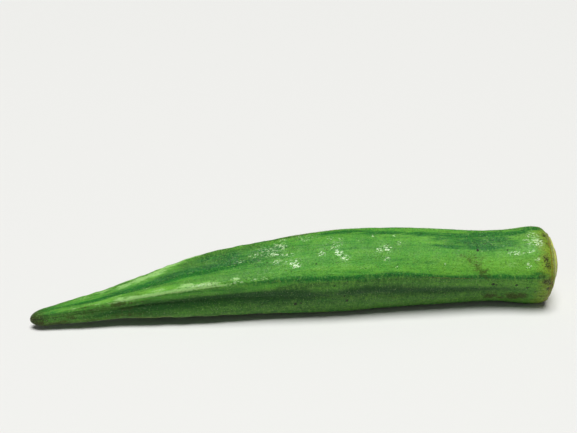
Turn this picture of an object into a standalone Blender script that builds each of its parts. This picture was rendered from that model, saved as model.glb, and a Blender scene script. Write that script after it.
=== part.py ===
"""Okra pod, picked and lying on a flat surface.

The pod is one grown body: a five-ridged seed capsule that tapers to a blunt beak, narrows to a neck and
flares to the scar ring where the flower's calyx sat. Behind the ring is a low receptacle with the trimmed
stalk. It is modelled as one closed solid, in metres, with +X from the beak to the stalk, +Z up and the
origin under the middle of the pod on the surface it lies on.
"""

import math

import bmesh
import bpy
from mathutils import Vector

MM = 0.001

# The pod from the beak's end to the scar ring, and how deep its underside is pressed flat where it lies
RING_AT = 134.0 * MM
PRESSED = 0.30 * MM

# Girth: the radius over the ridges in mm, at distances in mm from the beak's end. The beak's end is an
# arc, with rings at these degrees round it
BEAK_ROUND = 4.5 * MM
BEAK_ARC = (14, 30, 48, 68)
GIRTH = [
    (4.5, 2.35), (12.0, 3.30), (20.0, 4.10), (28.0, 5.45), (37.0, 6.95), (46.0, 8.30), (57.0, 9.20),
    (70.0, 10.35), (80.0, 10.80), (92.0, 10.60), (104.0, 10.15), (116.0, 9.50), (123.0, 9.68),
    (129.0, 10.35), (132.6, 10.45),
]

# Stalk end: distance in mm past the scar ring, radius in mm, and how much of the five-sided shape is left
STALK_END = [
    (-2.30, 10.45, 0.97), (-1.30, 10.46, 0.94), (-0.60, 10.46, 0.90), (-0.20, 10.46, 0.85),
    (0.10, 10.22, 0.80), (0.30, 9.75, 0.70), (0.75, 8.80, 0.55), (1.10, 7.20, 0.35), (1.20, 5.85, 0.15),
    (1.42, 5.10, 0.05), (1.95, 4.75, 0.0), (2.20, 4.45, 0.0), (2.23, 3.00, 0.0), (2.13, 1.50, 0.0),
    (1.90, 0.80, 0.0),
]
PITH_DEPTH = 1.75

# The skin rolls in at the scar ring: how much of the roll is reached, by distance in mm from the beak's
# end, how deep it is, how much deeper over the top ridge, and how many ridges wide that deeper part is
RIM_ROLL = [(130.5, 0.0), (132.2, 0.15), (133.4, 0.62), (134.0, 1.0), (134.5, 0.7), (135.15, 0.0)]
ROLL_DEPTH = 0.75 * MM
TOP_ROLL_DEPTH = 1.30 * MM
TOP_ROLL_WIDTH = 0.5
TOP_RIDGE = 1

# Spine: how far it bows sideways and how high it runs, in mm, at distances in mm from the beak's end, and
# how far to either side its direction is taken over
SIDEWAYS = [(0.0, 0.0), (28.0, 1.45), (56.0, 2.75), (84.0, 3.20), (109.0, 2.10), (137.0, 0.0)]
HEIGHT = [
    (0.0, 2.70), (14.0, 4.20), (28.0, 5.98), (46.0, 8.20), (65.0, 9.45), (80.0, 10.05), (97.0, 10.20),
    (118.0, 9.88), (137.0, 9.72),
]
REACH = 1.5 * MM

# Ridges, by distances in mm from the beak's end: the angle of the front ridge above the horizontal in
# degrees, the gap in degrees from it up to the top ridge, which is wider than the other four, and how deep
# the valleys between the ridges are, as a share of the radius
RIDGES = 5
FRONT_RIDGE = [
    (0.0, 50.0), (18.0, 43.5), (40.0, 34.0), (70.0, 22.0), (92.0, 17.0), (115.0, 10.0), (137.0, 7.0),
]
TOP_GAP = [(0.0, 80.0), (80.0, 80.0), (137.0, 88.0)]
VALLEY_DEPTH = [
    (0.0, 0.08), (11.0, 0.20), (28.0, 0.25), (46.0, 0.21), (60.0, 0.12), (80.0, 0.07), (110.0, 0.085),
    (137.0, 0.065),
]
# Valleys are sharp creases near the beak and soft hollows towards the stalk
VALLEY_SOFTNESS = [(0.0, 1.1), (37.0, 1.15), (75.0, 1.7), (137.0, 1.7)]

STEPS_PER_RIDGE = 10
BODY_RINGS = 50


def along(table, distance):
    """The value that a table of (distance, value) in mm gives, on a smooth curve through its points."""
    x = min(max(distance / MM, table[0][0]), table[-1][0])
    i = next(k for k in range(1, len(table)) if x <= table[k][0])

    def slope(k):
        low, high = table[max(k - 1, 0)], table[min(k + 1, len(table) - 1)]
        return (high[1] - low[1]) / (high[0] - low[0])

    (x0, y0), (x1, y1) = table[i - 1], table[i]
    width = x1 - x0
    t = (x - x0) / width
    return (
        y0 * (1 + 2 * t) * (1 - t) ** 2
        + slope(i - 1) * width * t * (1 - t) ** 2
        + y1 * t * t * (3 - 2 * t)
        - slope(i) * width * t * t * (1 - t)
    )


def girth(distance):
    """The radius over the ridges, with the beak's end rounded as an arc."""
    if distance < BEAK_ROUND:
        return GIRTH[0][1] * MM * math.sqrt(1 - (1 - distance / BEAK_ROUND) ** 2)
    return along(GIRTH, distance) * MM


def stations():
    """(distance from the beak's end, ridge radius, share of the ridged shape) for each ring of the skin."""
    nose = [BEAK_ROUND * (1 - math.cos(math.radians(a))) for a in BEAK_ARC]
    last = RING_AT + STALK_END[0][0] * MM
    step = (last - BEAK_ROUND) / BODY_RINGS
    body = [BEAK_ROUND + k * step for k in range(BODY_RINGS)]
    rings = [(d, girth(d), 1.0) for d in nose + body]
    return rings + [(RING_AT + d * MM, r * MM, share) for d, r, share in STALK_END]


def spine_point(distance):
    return Vector((distance, along(SIDEWAYS, distance) * MM, along(HEIGHT, distance) * MM))


def spine_frame(distance):
    """The spine's direction, the direction out towards the front, and the direction up, square to both."""
    tangent = (spine_point(distance + REACH) - spine_point(max(distance - REACH, 0.0))).normalized()
    front = tangent.cross(Vector((0, 0, 1))).normalized()
    return tangent, front, front.cross(tangent)


def past_ring(distance):
    """The stalk end runs straight on from the spine's direction at the ring."""
    tangent, _, _ = spine_frame(RING_AT)
    return spine_point(RING_AT) + tangent * (distance - RING_AT)


def ridge_angle(distance, step):
    """The angle round the pod, in degrees above the horizontal, and the share of the way into a valley."""
    ridge, part = divmod(step, STEPS_PER_RIDGE)
    part /= STEPS_PER_RIDGE
    top_gap = along(TOP_GAP, distance)
    other_gap = (360.0 - top_gap) / (RIDGES - 1)
    start, gap = (0.0, top_gap) if ridge == 0 else (top_gap + (ridge - 1) * other_gap, other_gap)
    return along(FRONT_RIDGE, distance) + start + part * gap, 1 - abs(2 * part - 1)


def rim_roll(distance, step):
    """How far the skin has rolled in towards the spine at the scar ring."""
    off_top = (step / STEPS_PER_RIDGE - TOP_RIDGE) / TOP_ROLL_WIDTH
    return along(RIM_ROLL, distance) * (ROLL_DEPTH + TOP_ROLL_DEPTH * math.exp(-(off_top**2)))


def skin_point(distance, radius, share, step):
    """A point on the skin: distance along the spine, and step round it from the front ridge."""
    angle, into_valley = ridge_angle(distance, step)
    hollow = 1 - (1 - into_valley) ** along(VALLEY_SOFTNESS, distance)
    r = radius * (1 - share * along(VALLEY_DEPTH, distance) * hollow) - rim_roll(distance, step)
    _, front, up = spine_frame(min(distance, RING_AT))
    centre = spine_point(distance) if distance <= RING_AT else past_ring(distance)
    a = math.radians(angle)
    return centre + r * (math.cos(a) * front + math.sin(a) * up)


def plain_tube(rings, steps):
    """A straight tube of unit radius with one ring for each station, 1 apart, closed by fans at both ends."""
    bm = bmesh.new()
    bmesh.ops.create_circle(bm, cap_ends=True, cap_tris=True, segments=steps, radius=1.0)
    loop = [e for e in bm.edges if e.is_boundary]
    for _ in range(rings - 1):
        made = bmesh.ops.extrude_edge_only(bm, edges=loop)["geom"]
        verts = [g for g in made if isinstance(g, bmesh.types.BMVert)]
        bmesh.ops.translate(bm, verts=verts, vec=(0, 0, 1))
        loop = [e for e in made if isinstance(e, bmesh.types.BMEdge) and e.is_boundary]
    end = bmesh.ops.contextual_create(bm, geom=loop)["faces"]
    bmesh.ops.poke(bm, faces=end)
    return bm


def shape_pod(bm, rings, steps):
    """Moves each point of the plain tube to its place on the pod's skin."""
    for v in bm.verts:
        k = min(round(v.co.z), len(rings) - 1)
        if v.co.xy.length < 0.5:
            v.co = spine_point(0.0) if k == 0 else past_ring(RING_AT + PITH_DEPTH * MM)
            continue
        step = round(math.atan2(v.co.y, v.co.x) / math.tau * steps) % steps
        v.co = skin_point(*rings[k], step)


def set_down(bm):
    """Centres the pod over the origin, and presses its underside flat on the surface that it lies on."""
    low = Vector(min(v.co[i] for v in bm.verts) for i in range(3))
    high = Vector(max(v.co[i] for v in bm.verts) for i in range(3))
    middle = (low + high) / 2
    for v in bm.verts:
        v.co -= Vector((middle.x, middle.y, low.z + PRESSED))
        v.co.z = max(v.co.z, 0.0)


def pod_skin_material():
    """Fresh okra skin: mid green, slightly waxy under its down."""
    material = bpy.data.materials.new("okra_skin")
    material.use_nodes = True
    shader = material.node_tree.nodes["Principled BSDF"]
    shader.inputs["Base Color"].default_value = (0.11, 0.30, 0.045, 1.0)
    shader.inputs["Roughness"].default_value = 0.45
    shader.inputs["Metallic"].default_value = 0.0
    return material


def make_pod():
    rings = stations()
    steps = RIDGES * STEPS_PER_RIDGE
    bm = plain_tube(len(rings), steps)
    shape_pod(bm, rings, steps)
    set_down(bm)
    bmesh.ops.triangulate(bm, faces=bm.faces)
    bmesh.ops.recalc_face_normals(bm, faces=bm.faces)
    mesh = bpy.data.meshes.new("okra_pod")
    bm.to_mesh(mesh)
    bm.free()
    mesh.shade_smooth()
    mesh.materials.append(pod_skin_material())
    pod = bpy.data.objects.new("okra_pod", mesh)
    bpy.context.scene.collection.objects.link(pod)
    return pod


for old in list(bpy.data.objects):
    bpy.data.objects.remove(old)
make_pod()
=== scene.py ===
"""The looks of one okra pod, picked and lying on its side on a pale surface.

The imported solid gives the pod's place and reach. The skin made here follows the same named values and adds
what the solid leaves out: the hard ribs, the sutures, the down, the corky scar and the cut stalk. Lengths
in the tables are in mm, and every object's place is in metres in its mesh.
"""

import math
import random
from functools import lru_cache

import bmesh
import bpy
from mathutils import Matrix, Vector, noise


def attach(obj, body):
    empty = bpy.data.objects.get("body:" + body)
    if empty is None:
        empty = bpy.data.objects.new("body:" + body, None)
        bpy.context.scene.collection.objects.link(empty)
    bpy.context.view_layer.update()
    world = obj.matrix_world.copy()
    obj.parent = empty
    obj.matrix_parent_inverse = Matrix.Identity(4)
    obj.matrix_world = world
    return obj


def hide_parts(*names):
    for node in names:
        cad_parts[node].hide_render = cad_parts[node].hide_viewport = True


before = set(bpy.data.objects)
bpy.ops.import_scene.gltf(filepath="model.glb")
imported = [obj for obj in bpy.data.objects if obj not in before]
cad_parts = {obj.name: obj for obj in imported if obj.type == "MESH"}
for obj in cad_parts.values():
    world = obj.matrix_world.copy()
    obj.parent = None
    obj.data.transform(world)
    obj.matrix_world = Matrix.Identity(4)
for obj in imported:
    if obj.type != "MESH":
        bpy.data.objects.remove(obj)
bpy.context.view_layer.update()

# The pod's body. A grown seed capsule of five fused leaves, with a hard rib where two of them meet and a
# suture down the middle of each. It tapers to a beak, narrows to a neck and flares to the ring where the
# flower's calyx sat. These are the values of the solid, at distances in mm from the beak's end.

MM = 0.001
RING_AT = 134.0
BEAK_ROUND = 4.5
GIRTH = (
    (4.5, 2.35), (12.0, 3.3), (20.0, 4.1), (28.0, 5.45), (37.0, 6.95), (46.0, 8.3), (57.0, 9.2),
    (70.0, 10.35), (80.0, 10.8), (92.0, 10.6), (104.0, 10.15), (116.0, 9.5), (123.0, 9.68),
    (129.0, 10.35), (132.6, 10.45),
)
SIDEWAYS = ((0.0, 0.0), (28.0, 1.45), (56.0, 2.75), (84.0, 3.20), (109.0, 2.10), (137.0, 0.0))
HEIGHT = (
    (0.0, 2.7), (14.0, 4.2), (28.0, 5.98), (46.0, 8.2), (65.0, 9.45), (80.0, 10.05), (97.0, 10.2),
    (118.0, 9.88), (137.0, 9.72),
)
REACH = 1.5
FRONT_RIDGE = (
    (0.0, 50.0), (18.0, 43.5), (40.0, 34.0), (70.0, 22.0), (92.0, 17.0), (115.0, 10.0), (137.0, 7.0),
)
TOP_GAP = ((0.0, 80.0), (80.0, 80.0), (137.0, 88.0))
VALLEY_DEPTH = (
    (0.0, 0.08), (11.0, 0.2), (28.0, 0.25), (46.0, 0.21), (60.0, 0.12), (80.0, 0.07), (110.0, 0.085),
    (137.0, 0.065),
)
VALLEY_SOFTNESS = ((0.0, 1.1), (37.0, 1.15), (75.0, 1.7), (137.0, 1.7))

# The middle of the solid's underside on the spine's scale, where the origin is
MIDDLE = Vector((68.269, 2.059, 0.281))

# Steps round the skin and how far they crowd towards the ridges, rings along it, and how many degrees of
# the beak's rounded end the nose's rings cover
RIDGES = 5
STEPS_PER_RIDGE = 40
CROWDING = 0.45
NOSE_RINGS = 12
NOSE_ARC = 86
BODY_RINGS = 418

# The skin rolls in at the scar ring, deepest over the top ridge: the share of the roll by distance, its
# depth in mm, how much deeper it is there, and how many ridges wide that part is
RIM_ROLL = ((130.5, 0.0), (132.2, 0.15), (133.4, 0.62), (134.0, 1.0), (134.5, 0.7), (135.15, 0.0))
ROLL_DEPTH = 0.75
TOP_ROLL_DEPTH = 1.30
TOP_ROLL_WIDTH = 0.5
TOP_RIDGE = 1

# Fine forms in mm, at the same distances: how high and broad a rib is, and how deep and broad a suture's
# groove is. RIDGE_ROUND is how much of the way into a valley a ridge's own rounding takes up
RIDGE_ROUND = ((0.0, 0.30), (20.0, 0.24), (50.0, 0.16), (75.0, 0.08), (134.0, 0.08))
RIB_HEIGHT = ((0.0, 0.0), (6.0, 0.05), (20.0, 0.16), (50.0, 0.15), (75.0, 0.12), (128.0, 0.10), (133.0, 0.0))
RIB_WIDTH = ((0.0, 0.35), (20.0, 0.60), (50.0, 0.60), (80.0, 0.50), (134.0, 0.50))
SUTURE_DEPTH = (
    (0.0, 0.0), (8.0, 0.05), (24.0, 0.18), (50.0, 0.24), (75.0, 0.34), (115.0, 0.36), (129.0, 0.14),
    (133.0, 0.0),
)
SUTURE_WIDTH = ((0.0, 0.25), (20.0, 0.42), (45.0, 0.65), (75.0, 1.15), (134.0, 1.15))
# How much of its groove each face keeps past the beak, from the face above the front ridge and on round,
# and the distances between which the rest fades
GROOVED = (0.12, 0.45, 0.7, 0.6, 1.0)
BEAK_TO_BODY = (46.0, 66.0)
# How far ribs and sutures sway in mm, and how wide half a face is where they have room for all of it
RIB_SWAY = 0.45
SUTURE_SWAY = 0.63
SWAY_ROOM = 4.0
# A suture runs a little off the middle of its face: how far by distance, as a share of half the face, and
# each face's part of that
SUTURE_LEAN = (
    (0.0, 0.35), (10.0, 0.42), (13.0, 0.46), (16.0, 0.45), (19.0, 0.38), (21.5, 0.27), (25.0, 0.22),
    (33.0, 0.16), (44.0, 0.14), (56.0, 0.08), (75.0, 0.0), (134.0, -0.1),
)
LEANING = (1.0, -0.5, 0.4, -0.3, 0.0)
# How far below the front ridge's crest its rib runs, in mm
FRONT_DRIFT = (
    (0.0, 0.0), (9.0, 0.05), (14.0, 0.3), (19.0, 0.28), (22.0, 0.58), (26.0, 0.48), (31.0, 0.5),
    (42.0, 0.64), (60.0, 0.64), (73.0, 0.45), (83.5, 0.65), (94.0, 0.0), (104.5, 0.6), (115.5, 0.45),
    (124.0, 0.0), (134.0, 0.0),
)
# Swellings along the crest of each ridge in mm, and how broad they are
KNUCKLES = ((0.0, 0.0), (12.0, 0.16), (50.0, 0.30), (70.0, 0.14), (134.0, 0.06))
KNUCKLE_WIDTH = 1.3
# What is left of a rib between its notches, and of a suture where it fades: the usual share and its range
RIB_LEFT = (0.75, 0.45)
SUTURE_LEFT = (0.9, 0.5)
# How these vary along the pod: the pace per mm, then how far apart two ridges or faces are, and the start
RIB_SWAYS = (0.10, 3.7, 8.0)
SUTURE_SWAYS = (0.09, 3.7, 2.0)
NOTCHES = (0.85, 7.3, 0.0)
SWELLINGS = (0.28, 5.9, 6.0)
FADES = (0.06, 5.1, 4.0)
# Veins along the pod and lumps all over it: height in mm and pace per mm, along and round for the veins
VEIN_HEIGHT = 0.030
VEIN_PACE = (0.05, 0.85)
LUMPS = ((0.08, 0.16), (0.035, 0.55))
# The seeds lie in two rows under each face: their pitch and how high they swell the skin in mm, where a row
# is and how broad, as a share of the way into the valley, and its shift in seeds for each face and side
SEED_PITCH = 5.6
SEED_SWELL = ((0.0, 0.0), (30.0, 0.0), (50.0, 0.06), (110.0, 0.07), (128.0, 0.0))
SEED_ROW = (0.62, 0.25)
SEED_SHIFT = (0.37, 0.25)
# Fine forms are lower where the pod's radius is less than FULL_RELIEF, and from END_RELIEF_FROM past the
# ring they are END_RELIEF as high. Round the pod no radius counts as less than LEAST_RADIUS. All in mm
FULL_RELIEF = 4.0
END_RELIEF_FROM = -0.3
END_RELIEF = 0.4
LEAST_RADIUS = 0.5

# The scar ring and what is behind it: mm past the ring, radius in mm, share of the five-sided shape. It
# is a corky lip, a sloping receptacle, a groove, and the stub of stalk with its cut face and sunk pith,
# whose middle is PITH_DEPTH past the ring
STALK_END = [
    (-0.62, 10.43, 0.9), (-0.48, 10.42, 0.89), (-0.36, 10.45, 0.88), (-0.24, 10.56, 0.87),
    (-0.12, 10.63, 0.86), (0.0, 10.6, 0.84), (0.09, 10.46, 0.81), (0.16, 10.24, 0.79),
    (0.22, 10.0, 0.75), (0.3, 9.72, 0.7), (0.42, 9.42, 0.66), (0.56, 9.1, 0.61), (0.7, 8.75, 0.55),
    (0.84, 8.32, 0.49), (0.95, 7.85, 0.43), (1.02, 7.35, 0.37), (1.02, 6.9, 0.3), (0.94, 6.45, 0.24),
    (0.84, 6.05, 0.18), (0.82, 5.72, 0.13), (0.92, 5.45, 0.09), (1.1, 5.26, 0.06), (1.32, 5.14, 0.04),
    (1.56, 5.05, 0.02), (1.8, 4.96, 0.0), (2.0, 4.86, 0.0), (2.13, 4.74, 0.0), (2.21, 4.58, 0.0),
    (2.23, 4.4, 0.0), (2.2, 4.2, 0.0), (2.2, 3.9, 0.0), (2.21, 3.55, 0.0), (2.2, 3.2, 0.0),
    (2.17, 2.85, 0.0), (2.16, 2.5, 0.0), (2.15, 2.15, 0.0), (2.12, 1.8, 0.0), (2.06, 1.5, 0.0),
    (1.96, 1.22, 0.0), (1.84, 0.96, 0.0), (1.78, 0.62, 0.0), (1.76, 0.3, 0.0),
]
PITH_DEPTH = 1.75
# Where the torn edge, the receptacle and the cut face begin, in mm past the ring, and the cut face's radius
TORN_FROM = -1.0
RECEPTACLE_FROM = 0.02
CUT_FROM = 2.05
CUT_RADIUS = 4.5


@lru_cache(maxsize=None)
def along(table, distance):
    """The value that a table of (distance, value) gives, on a smooth curve through its points."""
    x = min(max(distance, table[0][0]), table[-1][0])
    i = next(k for k in range(1, len(table)) if x <= table[k][0])

    def slope(k):
        low, high = table[max(k - 1, 0)], table[min(k + 1, len(table) - 1)]
        return (high[1] - low[1]) / (high[0] - low[0])

    (x0, y0), (x1, y1) = table[i - 1], table[i]
    width = x1 - x0
    t = (x - x0) / width
    return (
        y0 * (1 + 2 * t) * (1 - t) ** 2
        + slope(i - 1) * width * t * (1 - t) ** 2
        + y1 * t * t * (3 - 2 * t)
        - slope(i) * width * t * t * (1 - t)
    )


@lru_cache(maxsize=None)
def spine_point(distance):
    return Vector((distance, along(SIDEWAYS, distance), along(HEIGHT, distance)))


@lru_cache(maxsize=None)
def spine_frame(distance):
    """The spine's direction, the direction out towards the front, and the direction up, square to both."""
    tangent = (spine_point(distance + REACH) - spine_point(max(distance - REACH, 0.0))).normalized()
    front = tangent.cross(Vector((0, 0, 1))).normalized()
    return tangent, front, front.cross(tangent)


def skin_rings():
    """(distance from the beak's end, radius over the ridges, share of the ridged shape) of each ring."""
    rings = []
    for k in range(NOSE_RINGS):
        lean = math.radians(NOSE_ARC) * k / NOSE_RINGS
        rings.append((BEAK_ROUND * (1 - math.cos(lean)), GIRTH[0][1] * math.sin(lean), 1.0))
    start, end = rings[-1][0], RING_AT + STALK_END[0][0]
    for k in range(1, BODY_RINGS):
        distance = start + (end - start) * k / BODY_RINGS
        if distance < BEAK_ROUND:
            radius = GIRTH[0][1] * math.sqrt(1 - (1 - distance / BEAK_ROUND) ** 2)
        else:
            radius = along(GIRTH, distance)
        rings.append((distance, radius, 1.0))
    rings += [(RING_AT + past, radius, share) for past, radius, share in STALK_END]
    return rings + [(RING_AT + PITH_DEPTH, 0.0, 0.0)]


def round_the_pod(distance, turn):
    """For a turn from 0 to 5 ridges: the angle above the horizontal, and the way into a valley, 0 to 1."""
    ridge = min(int(turn), RIDGES - 1)
    part = turn - ridge
    top_gap = along(TOP_GAP, distance)
    other_gap = (360.0 - top_gap) / (RIDGES - 1)
    start, gap = (0.0, top_gap) if ridge == 0 else (top_gap + (ridge - 1) * other_gap, other_gap)
    return along(FRONT_RIDGE, distance) + start + part * gap, 1 - abs(2 * part - 1)


def turn_of(step):
    """Steps round the pod lie closer together at the ridges, where the ribs need them."""
    ridge, part = divmod(step / STEPS_PER_RIDGE, 1.0)
    return ridge + part - CROWDING * math.sin(math.tau * part) / math.tau


def rim_roll(distance, turn):
    """How far the skin has rolled in towards the spine at the scar ring, in mm."""
    off_top = (turn - TOP_RIDGE) / TOP_ROLL_WIDTH
    return along(RIM_ROLL, distance) * (ROLL_DEPTH + TOP_ROLL_DEPTH * math.exp(-(off_top**2)))


def bell(off, width):
    """1 on a line, falling smoothly to nothing past its width on either side."""
    return math.exp(-((off / width) ** 2))


def around(turn):
    """At a turn round the pod: the nearest ridge, the face, and the side of the ridge, 1 or -1."""
    return round(turn) % RIDGES, int(turn) % RIDGES, 1 if turn % 1 < 0.5 else -1


def straightened(distance, turn):
    """A place as if the pod were a straight rod of 10 mm radius, for patterns that follow its growth."""
    a = math.tau * turn / RIDGES
    return Vector((distance, 10 * math.cos(a), 10 * math.sin(a)))


def varied(kind, distance, which):
    """Noise along one ridge or face, from -1 to 1."""
    pace, apart, start = kind
    return noise.noise(Vector((distance * pace, which * apart, start)))


def offsets(distance, turn, into_valley, radius):
    """In mm round the skin: how far a place is from the nearest rib and from its suture, and half a face."""
    half_face = math.pi / RIDGES * max(radius, LEAST_RADIUS)
    ridge, face, side = around(turn)
    room = min(half_face / SWAY_ROOM, 1.0)
    rib_sway = RIB_SWAY * room * varied(RIB_SWAYS, distance, ridge)
    if ridge == 0:
        rib_sway += along(FRONT_DRIFT, distance)
    suture_sway = SUTURE_SWAY * room * varied(SUTURE_SWAYS, distance, face)
    lean = LEANING[face] * along(SUTURE_LEAN, distance) * half_face
    from_suture = side * (1 - into_valley) * half_face + suture_sway - lean
    return side * into_valley * half_face + rib_sway, from_suture, half_face


def groove_share(distance, face):
    """How much of the full groove the suture of a face has: all of it in the beak, less in the body."""
    start, end = BEAK_TO_BODY
    t = min(max((distance - start) / (end - start), 0.0), 1.0)
    return 1 + (GROOVED[face] - 1) * t * t * (3 - 2 * t)


def fine_forms(distance, turn, into_valley, radius):
    """How far ribs, sutures, veins and seeds move the skin outwards, in mm."""
    from_rib, from_suture, _ = offsets(distance, turn, into_valley, radius)
    ridge, face, side = around(turn)
    straight = straightened(distance, turn)
    left = RIB_LEFT[0] + RIB_LEFT[1] * varied(NOTCHES, distance, ridge)
    rib = along(RIB_HEIGHT, distance) * left * bell(from_rib, along(RIB_WIDTH, distance))
    knuckle = varied(SWELLINGS, distance, ridge)
    rib += along(KNUCKLES, distance) * knuckle * bell(from_rib, KNUCKLE_WIDTH)
    left = SUTURE_LEFT[0] + SUTURE_LEFT[1] * varied(FADES, distance, face)
    suture = along(SUTURE_DEPTH, distance) * left * groove_share(distance, face)
    suture *= bell(from_suture, along(SUTURE_WIDTH, distance))
    lengthwise, crosswise = VEIN_PACE
    fibre = Vector((straight.x * lengthwise, straight.y * crosswise, straight.z * crosswise))
    vein = VEIN_HEIGHT * noise.noise(fibre)
    seed = math.cos(math.tau * (distance / SEED_PITCH + face * SEED_SHIFT[0] + side * SEED_SHIFT[1]))
    swell = along(SEED_SWELL, distance) * seed * bell(into_valley - SEED_ROW[0], SEED_ROW[1])
    lumps = sum(height * noise.noise(straight * pace) for height, pace in LUMPS)
    return (rib - suture + vein + swell + lumps) * min(radius / FULL_RELIEF, 1.0)


# The torn edge of the scar ring, in mm: how broad its lip is, and how far the tear, the bites and the
# roughness move it along the pod and outwards. Inside FULL_ROUGH's radius the roughness fades
LIP_WIDTH = 0.30
TORN = (0.16, 0.12)
BITTEN = (0.5, 0.8)
ROUGH = (0.035, 0.05)
FULL_ROUGH = 3.0
# Bites out of the edge, where the calyx tore off: turn in ridges, half width and depth in mm
BITES = [
    (4.8, 0.6, 0.65), (0.28, 0.5, 0.22), (0.66, 0.55, 0.25), (1.45, 0.8, 0.35), (1.95, 0.45, 0.5),
    (2.55, 0.6, 0.3), (3.12, 0.5, 0.45), (3.7, 0.9, 0.3), (4.25, 0.45, 0.35),
]


def end_forms(past, turn, radius):
    """The scar ring's torn edge and the unevenness of the stalk end: mm along and mm outwards."""
    a = math.tau * turn / RIDGES
    ring = Vector((math.cos(a), math.sin(a), 0.0))
    lip = bell(past, LIP_WIDTH)
    torn = noise.noise(ring * 9.0 + Vector((0, 0, 3.0))) + 0.6 * noise.noise(ring * 24.0)
    rough = noise.noise(ring * radius * 0.9 + Vector((0, 0, past * 2)))
    rough *= min(radius / FULL_ROUGH, 1.0)
    bite = 0.0
    for bite_turn, half_width, depth in BITES:
        across = ((turn - bite_turn + RIDGES / 2) % RIDGES - RIDGES / 2) * math.tau / RIDGES * radius
        bite = max(bite, depth * bell(across, half_width))
    moves = zip(TORN, BITTEN, ROUGH)
    return [tear * lip * torn - cut * bite * lip + coarse * rough for tear, cut, coarse in moves]


def skin_point(ring, turn):
    """A point of the skin in mm on the spine's scale, and how far into a valley it is."""
    distance, radius, share = ring
    angle, into_valley = round_the_pod(distance, turn)
    a = math.radians(angle)
    tangent, front, up = spine_frame(min(distance, RING_AT))
    past = distance - RING_AT
    centre = spine_point(distance) if past <= 0 else spine_point(RING_AT) + tangent * past
    rounding = along(RIDGE_ROUND, distance)
    off_ridge = (math.hypot(into_valley, rounding) - rounding) / (math.hypot(1.0, rounding) - rounding)
    hollow = 1 - (1 - off_ridge) ** along(VALLEY_SOFTNESS, distance)
    r = radius * (1 - share * along(VALLEY_DEPTH, distance) * hollow) - rim_roll(distance, turn)
    relief = 1.0 if past < END_RELIEF_FROM else END_RELIEF
    r += fine_forms(distance, turn, into_valley, radius) * share * relief
    if past > TORN_FROM:
        forward, outward = end_forms(past, turn, radius)
        centre = centre + tangent * forward
        r += outward
    return centre + max(r, 0.0) * (math.cos(a) * front + math.sin(a) * up), into_valley


# Marks on the skin: distance from the beak's end in mm, turn in ridges from the front ridge, then half the
# length along the pod and half the width round it in mm, and the strength. A mark is nothing past MARK_REACH
# times its half length. First the bruises, and painted shade darkening the beak's underside
MARK_REACH = 2.2
BRUISES_AND_SHADE = (
    (110.6, 0.36, 2.0, 1.2, 0.54), (112.4, 0.27, 2.0, 1.4, 0.62), (114.2, 0.17, 2.0, 1.5, 0.72),
    (113.6, 0.3, 3.2, 2.2, 0.52), (115.6, 0.06, 1.8, 1.3, 0.8), (116.6, 4.95, 1.8, 1.0, 0.6),
    (118.6, 4.3, 2.1, 1.4, 1.05), (121.4, 4.24, 1.6, 0.9, 0.8), (124.4, 4.33, 2.2, 1.8, 1.25),
    (126.6, 4.38, 1.8, 1.6, 1.15), (112.6, 0.67, 1.5, 0.45, 0.55), (114.4, 0.61, 1.2, 0.45, 0.5),
    (106.0, 0.93, 2.8, 0.25, 0.5),
    (18.4, 4.82, 2.6, 0.6, 0.6), (22.6, 4.77, 2.3, 0.85, 1.1), (25.6, 4.75, 2.0, 0.75, 0.7),
    (14.0, 4.7, 4.0, 0.6, 0.45), (22.0, 4.72, 4.5, 0.8, 0.62), (28.5, 4.72, 2.4, 0.8, 0.5),
    (129.9, 4.25, 1.5, 0.7, 0.7), (10.4, 4.36, 2.0, 0.8, 0.75), (14.0, 4.45, 5.5, 0.8, 0.5),
    (24.0, 4.42, 5.0, 0.9, 0.55), (13.5, 4.92, 2.4, 0.4, 0.45), (2.6, 4.1, 1.6, 0.9, 0.95),
    (7.8, 4.12, 2.6, 0.7, 0.85), (5.0, 3.8, 5.0, 0.9, 0.85), (14.0, 3.8, 6.0, 1.0, 0.62),
    (24.0, 3.85, 7.0, 1.2, 0.5), (33.0, 3.85, 5.0, 1.2, 0.35), (24.0, 4.16, 6.5, 1.0, 0.62),
    (14.0, 4.05, 5.0, 0.9, 0.58), (6.6, 4.0, 4.0, 0.8, 0.95), (96.0, 2.35, 1.8, 0.7, 0.6),
    (61.0, 3.15, 2.2, 0.5, 0.5), (84.0, 3.62, 1.2, 1.1, 0.55), (36.0, 2.12, 2.0, 0.4, 0.6),
    (122.0, 1.7, 1.6, 1.0, 0.5), (122.5, 3.3, 1.3, 0.8, 0.55), (74.0, 1.02, 2.4, 0.3, 0.5),
    (89.0, 1.98, 3.0, 0.3, 0.6), (108.0, 3.02, 2.6, 0.3, 0.6),
)
# Small dark dots: distance, turn, radius in mm and strength
DOTS = (
    (118.5, 4.77, 0.46, 1.0), (119.4, 4.75, 0.34, 0.8), (124.5, 4.77, 0.38, 1.0), (127.4, 4.71, 0.34, 0.9),
    (129.7, 4.58, 0.32, 0.8), (72.4, 0.24, 0.3, 0.7), (79.3, 4.49, 0.36, 0.75), (80.0, 4.38, 0.42, 0.9),
    (103.8, 0.56, 0.3, 0.6), (114.5, 0.51, 0.4, 0.9), (122.3, 0.51, 0.32, 0.7), (76.6, 4.79, 0.32, 0.8),
    (66.5, 4.3, 0.48, 0.9), (67.9, 4.33, 0.36, 0.8), (71.5, 4.55, 0.28, 0.7), (99.0, 4.2, 0.3, 0.7),
    (58.0, 4.3, 0.3, 0.6), (60.3, 0.37, 0.3, 0.7), (88.5, 1.6, 0.4, 0.9), (109.0, 2.3, 0.38, 0.9),
    (70.5, 2.7, 0.34, 0.8), (47.0, 1.4, 0.32, 0.7), (119.5, 2.6, 0.38, 0.8), (93.0, 3.4, 0.36, 0.8),
    (64.5, 3.7, 0.32, 0.7), (128.4, 1.4, 0.38, 0.8), (126.0, 3.1, 0.38, 0.8),
)
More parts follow.
